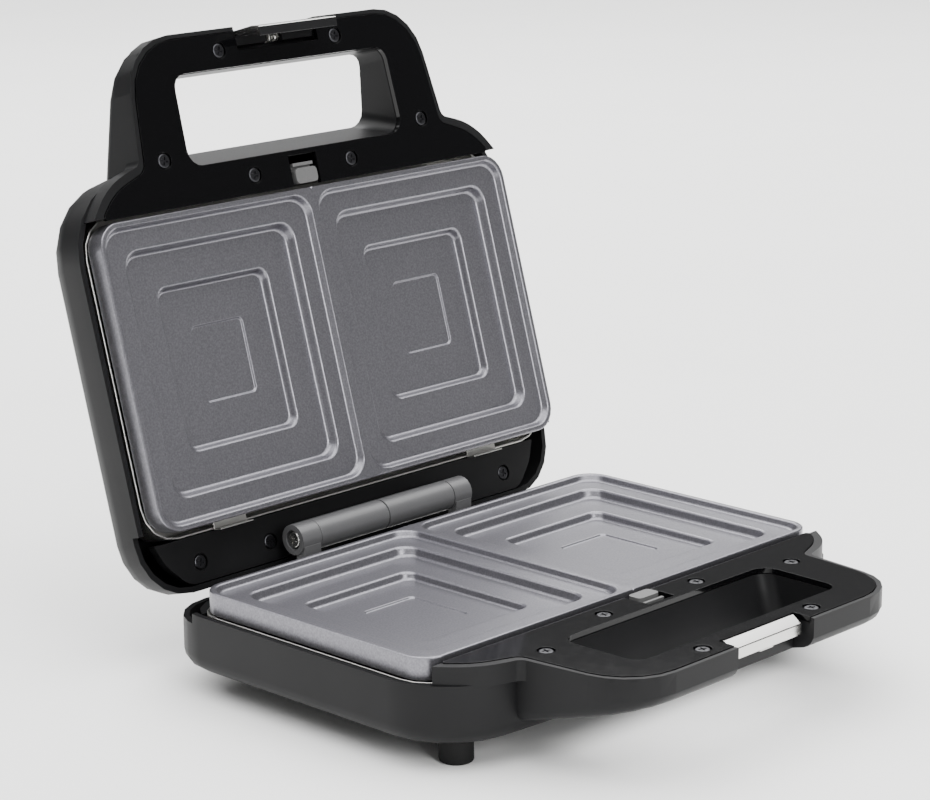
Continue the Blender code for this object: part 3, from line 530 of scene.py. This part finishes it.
# %% Dark sleeve behind the latch plate
STRIP_BACK_Y = -132.25 * MM  # the back of the stainless strip, in the lid's half frame
lever = bpy.data.objects["latch_lever_finished"]
lever.data.materials.append(housing_finish)
to_half = HALF["lid"].inverted()
for polygon in lever.data.polygons:
    inward = (to_half.to_3x3() @ polygon.normal).y > 0.3
    if inward or (to_half @ polygon.center).y > STRIP_BACK_Y:
        polygon.material_index = 1
print("sleeve faces", sum(p.material_index for p in lever.data.polygons))

# %% [markdown]
# ## Screws
# The screws are black self-tappers with a Phillips recess, sunk in counterbores. At this
# size a screw is read by its recess and by a glint on the dome. The head is a cylinder
# with a bevelled crown, and the recess is cut with a crossed bar that is deleted after the cut.

# %% A Phillips screw
def phillips_head(name, x, y, top, radius, height, half, finish):
    """A domed screw head at a place in the half frame, its crown towards the user."""
    start_fresh()
    bpy.ops.mesh.primitive_cylinder_add(vertices=28, radius=radius, depth=height,
                                        location=(x, y, top + height / 2))
    head = bpy.context.object
    bpy.ops.object.mode_set(mode="EDIT")
    middle = height / 2
    pick("edges", lambda edge: all(v.co.z < -middle * 0.9 for v in edge.verts))
    bpy.ops.mesh.bevel(offset=height * 0.55, segments=4, affect="EDGES")
    bpy.ops.object.mode_set(mode="OBJECT")
    cutters = []
    for turn in (0.35, 0.35 + math.pi / 2):
        bpy.ops.mesh.primitive_cube_add(size=1, location=(x, y, top), rotation=(0, 0, turn))
        bar = bpy.context.object
        bar.scale = (radius * 1.15, radius * 0.26, height * 1.1)
        bpy.ops.object.transform_apply(location=False, rotation=False, scale=True)
        cutters.append(bar)
    only(head)
    for bar in cutters:
        recess = head.modifiers.new("recess", "BOOLEAN")
        recess.object, recess.operation, recess.solver = bar, "DIFFERENCE", "EXACT"
        bpy.ops.object.modifier_apply(modifier=recess.name)
        bpy.data.objects.remove(bar, do_unlink=True)
    return settle(head, name, half, finish, 35)


HEAD_RADIUS, HEAD_HEIGHT = 0.0031, 0.0012
COVER_HEAD_TOP, STRIP_HEAD_TOP = 0.00165, 0.0133  # depth of the crowns below the rim
COVER_SCREWS = ((0.0336, -0.1272), (0.0751, -0.0853), (0.0283, -0.0732))
STRIP_SCREWS = {"lid": ((-0.0915, 0.0795), (-0.0525, 0.0795), (0.0915, 0.0795)),
                "base": ((-0.0915, 0.0745), (0.0915, 0.0745))}
for half in ("base", "lid"):
    rows = [(f"{half}_cover_screw_{i + 1}", side * x, y, COVER_HEAD_TOP)
            for i, (x, y, side) in enumerate((x, y, side) for x, y in COVER_SCREWS
                                             for side in (1, -1))]
    rows += [(f"{half}_strip_screw_{i + 1}", x, y, STRIP_HEAD_TOP)
             for i, (x, y) in enumerate(STRIP_SCREWS[half])]
    for node, x, y, top in rows:
        head = phillips_head(node + "_head", x, y, top, HEAD_RADIUS, HEAD_HEIGHT, half,
                             screw_finish)
        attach(head, BODY_OF[node])
        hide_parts(node)
    print(half, len(rows), "screws")

# %% [markdown]
# The hinge pin is held by a bright screw at each end of the barrel. It is the same head,
# larger and turned to face along the hinge, so it is drawn upright and then laid over.

# %% Hinge end screws
BARREL_END_X = 0.0506
END_HEAD_RADIUS, END_HEAD_HEIGHT = 0.0036, 0.0015


def hinge_screw(node, side):
    head = phillips_head(node + "_head", 0, 0, 0, END_HEAD_RADIUS, END_HEAD_HEIGHT, "base",
                         latch_finish)
    head.data.transform(HALF["base"].inverted())
    lay = Matrix.Translation((side * BARREL_END_X, HINGE_Y, -HINGE_Z)) @ Matrix.Rotation(
        -side * math.pi / 2, 4, "Y")
    head.data.transform(HALF["base"] @ lay)
    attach(head, BODY_OF[node])
    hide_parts(node)
    return head


for node, side in (("hinge_screw_left", 1), ("hinge_screw_right", -1)):
    print(hinge_screw(node, side).name)

# %% [markdown]
# The barrel is a shade paler and a little smoother than the housings. The paler tone is
# painted highlight: it stands in for the light that falls on the round barrel.

# %% Barrel with painted highlight
# painted highlight: these paler greys stand in for light on the barrel, not a different plastic
barrel_finish = grained("paler_hinge_abs_painted_highlight", "#4A4A4B", "#565657", 0.34, 0.5, 0.2)
for name in ("lid_hinge_bracket", "base_hinge_knuckle_left", "base_hinge_knuckle_right"):
    bpy.data.objects[name + "_finished"].data.materials[0] = barrel_finish
print("barrel finish", barrel_finish.name)
